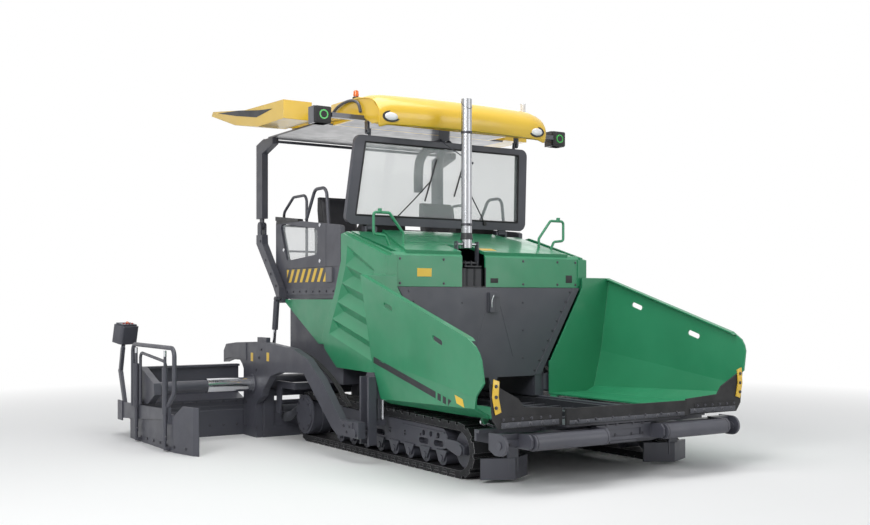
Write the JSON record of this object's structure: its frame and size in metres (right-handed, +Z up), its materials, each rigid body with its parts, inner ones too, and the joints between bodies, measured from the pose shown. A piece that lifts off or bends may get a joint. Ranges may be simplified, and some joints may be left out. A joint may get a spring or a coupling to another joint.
{
  "type": "tracked asphalt paver",
  "caption": "Tracked asphalt paver with folding hopper wings, operator platform under a folding canopy, and an extending paving screed on tow arms.",
  "frame": {"origin": "on the ground, under the middle of the bounding box", "axes": "+X forward to the push rollers, +Y to the left side of the machine, +Z up"},
  "size_m": [6.0999, 5.9548, 4.03],
  "materials": {
    "green_paint": "gloss",
    "gray_paint": "satin",
    "dark_paint": "satin",
    "yellow_paint": "gloss",
    "track_steel": "matte",
    "wear_steel": "matte",
    "chrome": "polished",
    "rubber": "matte",
    "seat_vinyl": "satin",
    "glass": "clear",
    "black_plastic": "matte"
  },
  "bodies": {
    "tractor": {"undercarriage": "gray_paint", "track_right": "track_steel", "track_left": "track_steel", "main_frame": "gray_paint", "bulkhead": "gray_paint", "conveyor": "wear_steel", "hood": "green_paint", "cowl_right": "green_paint", "cowl_left": "green_paint", "platform": "gray_paint", "operator_console": "black_plastic", "seats": "seat_vinyl", "apron_centre": "rubber"},
    "push_beam": {"push_beam": "gray_paint"},
    "push_roller_right": {"push_roller_right": "gray_paint"},
    "push_roller_left": {"push_roller_left": "gray_paint"},
    "screed": {"screed_base": "gray_paint", "tow_arm_right": "gray_paint", "tow_arm_left": "gray_paint"},
    "rear_posts": {"rear_posts": "gray_paint"},
    "windscreen": {"windscreen_frame": "gray_paint", "windscreen_glass": "glass"},
    "canopy": {"canopy": "yellow_paint"},
    "exhaust": {"exhaust": "chrome"},
    "exhaust_stay": {"exhaust_stay": "gray_paint"},
    "hopper_wing_right": {"hopper_wing_right": "green_paint", "hopper_apron_right": "rubber"},
    "hopper_barrel_right": {"hopper_barrel_right": "gray_paint"},
    "hopper_rod_right": {"hopper_rod_right": "chrome"},
    "auger_right": {"auger_right": "wear_steel"},
    "jack_barrel_right": {"jack_barrel_right": "gray_paint"},
    "jack_rod_right": {"jack_rod_right": "chrome"},
    "tube_mid_right": {"tube_mid_right": "chrome"},
    "extension_right": {"extension_right": "gray_paint"},
    "canopy_wing_right": {"canopy_wing_right": "yellow_paint"},
    "hopper_wing_left": {"hopper_wing_left": "green_paint", "hopper_apron_left": "rubber"},
    "hopper_barrel_left": {"hopper_barrel_left": "gray_paint"},
    "hopper_rod_left": {"hopper_rod_left": "chrome"},
    "auger_left": {"auger_left": "wear_steel"},
    "jack_barrel_left": {"jack_barrel_left": "gray_paint"},
    "jack_rod_left": {"jack_rod_left": "chrome"},
    "tube_mid_left": {"tube_mid_left": "chrome"},
    "extension_left": {"extension_left": "gray_paint"},
    "canopy_wing_left": {"canopy_wing_left": "yellow_paint"}
  },
  "joints": [
    {"name": "hopper_fold_right", "type": "hinge", "parent": "tractor", "child": "hopper_wing_right", "pos_m": [0, -0.72, 0.55], "axis": [-1, 0, 0], "range_deg": [0, 42]},
    {"name": "hopper_barrel_swing_right", "type": "hinge", "parent": "tractor", "child": "hopper_barrel_right", "pos_m": [2.335, -0.77, 0.36], "axis": [-1, 0, 0], "range_deg": [0, 37.1]},
    {"name": "hopper_rod_slide_right", "type": "slide", "parent": "hopper_barrel_right", "child": "hopper_rod_right", "axis": [0, -0.9255, 0.3786], "range_m": [0, 0.1329]},
    {"name": "push_roller_spin_right", "type": "hinge", "parent": "push_beam", "child": "push_roller_right", "pos_m": [2.98, -0.76, 0.42], "axis": [0, 1, 0], "continuous": true},
    {"name": "auger_spin_right", "type": "hinge", "parent": "tractor", "child": "auger_right", "pos_m": [-1.515, -0.75, 0.35], "axis": [0, 1, 0], "continuous": true},
    {"name": "jack_swing_right", "type": "hinge", "parent": "tractor", "child": "jack_barrel_right", "pos_m": [-1.7, -1.375, 1.64], "axis": [0, 1, 0], "range_deg": [-5.63, 0]},
    {"name": "jack_rod_slide_right", "type": "slide", "parent": "jack_barrel_right", "child": "jack_rod_right", "axis": [-0.1455, 0, -0.9894], "range_m": [-0.2701, 0]},
    {"name": "extension_slide_right", "type": "slide", "parent": "screed", "child": "extension_right", "axis": [0, -1, 0], "range_m": [-1.12, 0.03]},
    {"name": "tube_slide_right", "type": "slide", "parent": "screed", "child": "tube_mid_right", "axis": [0, -1, 0], "range_m": [-0.57, 0.02]},
    {"name": "canopy_wing_slide_right", "type": "slide", "parent": "canopy", "child": "canopy_wing_right", "axis": [0, -1, 0], "range_m": [-0.3, 0]},
    {"name": "hopper_fold_left", "type": "hinge", "parent": "tractor", "child": "hopper_wing_left", "pos_m": [0, 0.72, 0.55], "axis": [1, 0, 0], "range_deg": [0, 42]},
    {"name": "hopper_barrel_swing_left", "type": "hinge", "parent": "tractor", "child": "hopper_barrel_left", "pos_m": [2.335, 0.77, 0.36], "axis": [1, 0, 0], "range_deg": [0, 37.1]},
    {"name": "hopper_rod_slide_left", "type": "slide", "parent": "hopper_barrel_left", "child": "hopper_rod_left", "axis": [0, 0.9255, 0.3786], "range_m": [0, 0.1329]},
    {"name": "push_roller_spin_left", "type": "hinge", "parent": "push_beam", "child": "push_roller_left", "pos_m": [2.98, 0.76, 0.42], "axis": [0, 1, 0], "continuous": true},
    {"name": "auger_spin_left", "type": "hinge", "parent": "tractor", "child": "auger_left", "pos_m": [-1.515, 0.75, 0.35], "axis": [0, 1, 0], "continuous": true},
    {"name": "jack_swing_left", "type": "hinge", "parent": "tractor", "child": "jack_barrel_left", "pos_m": [-1.7, 1.375, 1.64], "axis": [0, 1, 0], "range_deg": [-5.63, 0]},
    {"name": "jack_rod_slide_left", "type": "slide", "parent": "jack_barrel_left", "child": "jack_rod_left", "axis": [-0.1455, 0, -0.9894], "range_m": [-0.2701, 0]},
    {"name": "extension_slide_left", "type": "slide", "parent": "screed", "child": "extension_left", "axis": [0, 1, 0], "range_m": [-1.12, 0.03]},
    {"name": "tube_slide_left", "type": "slide", "parent": "screed", "child": "tube_mid_left", "axis": [0, 1, 0], "range_m": [-0.57, 0.02]},
    {"name": "canopy_wing_slide_left", "type": "slide", "parent": "canopy", "child": "canopy_wing_left", "axis": [0, 1, 0], "range_m": [-0.3, 0]},
    {"name": "push_beam_swing", "type": "hinge", "parent": "tractor", "child": "push_beam", "pos_m": [2.77, 0, 0.43], "axis": [0, 0, 1], "range_deg": [-6, 6]},
    {"name": "screed_lift", "type": "hinge", "parent": "tractor", "child": "screed", "pos_m": [0.725, 0, 0.3], "axis": [0, 1, 0], "range_deg": [0, 6]},
    {"name": "canopy_fold", "type": "hinge", "parent": "tractor", "child": "rear_posts", "pos_m": [-2.3, 0, 2.55], "axis": [0, 1, 0], "range_deg": [0, 62]},
    {"name": "windscreen_fold", "type": "hinge", "parent": "tractor", "child": "windscreen", "pos_m": [-0.27, 0, 2.425], "axis": [0, 1, 0], "range_deg": [0, 62]},
    {"name": "canopy_level", "type": "hinge", "parent": "rear_posts", "child": "canopy", "pos_m": [-2.16, 0, 3.6], "axis": [0, 1, 0], "range_deg": [-62, 0]},
    {"name": "exhaust_fold", "type": "hinge", "parent": "tractor", "child": "exhaust", "pos_m": [0.65, -0.235, 2.225], "axis": [0, 1, 0], "range_deg": [0, 76.8]},
    {"name": "stay_swing", "type": "hinge", "parent": "canopy", "child": "exhaust_stay", "pos_m": [0, -0.163, 3.43], "axis": [0, 1, 0], "range_deg": [-3, 0]}
  ],
  "couplings": [
    {"joint": "hopper_barrel_swing_right", "follows": "hopper_fold_right", "ratio": 0.86066},
    {"joint": "hopper_rod_slide_right", "follows": "hopper_fold_right", "m_per_rad": 0.17856},
    {"joint": "jack_swing_right", "follows": "screed_lift", "ratio": -0.85493},
    {"joint": "jack_rod_slide_right", "follows": "screed_lift", "m_per_rad": -2.56},
    {"joint": "tube_slide_right", "follows": "extension_slide_right", "ratio": 0.5},
    {"joint": "hopper_barrel_swing_left", "follows": "hopper_fold_left", "ratio": 0.86066},
    {"joint": "hopper_rod_slide_left", "follows": "hopper_fold_left", "m_per_rad": 0.17856},
    {"joint": "jack_swing_left", "follows": "screed_lift", "ratio": -0.85493},
    {"joint": "jack_rod_slide_left", "follows": "screed_lift", "m_per_rad": -2.56},
    {"joint": "tube_slide_left", "follows": "extension_slide_left", "ratio": 0.5},
    {"joint": "windscreen_fold", "follows": "canopy_fold", "ratio": 1},
    {"joint": "canopy_level", "follows": "canopy_fold", "ratio": -1},
    {"joint": "exhaust_fold", "follows": "canopy_fold", "ratio": 1.23},
    {"joint": "stay_swing", "follows": "canopy_fold", "ratio": -0.0353}
  ]
}
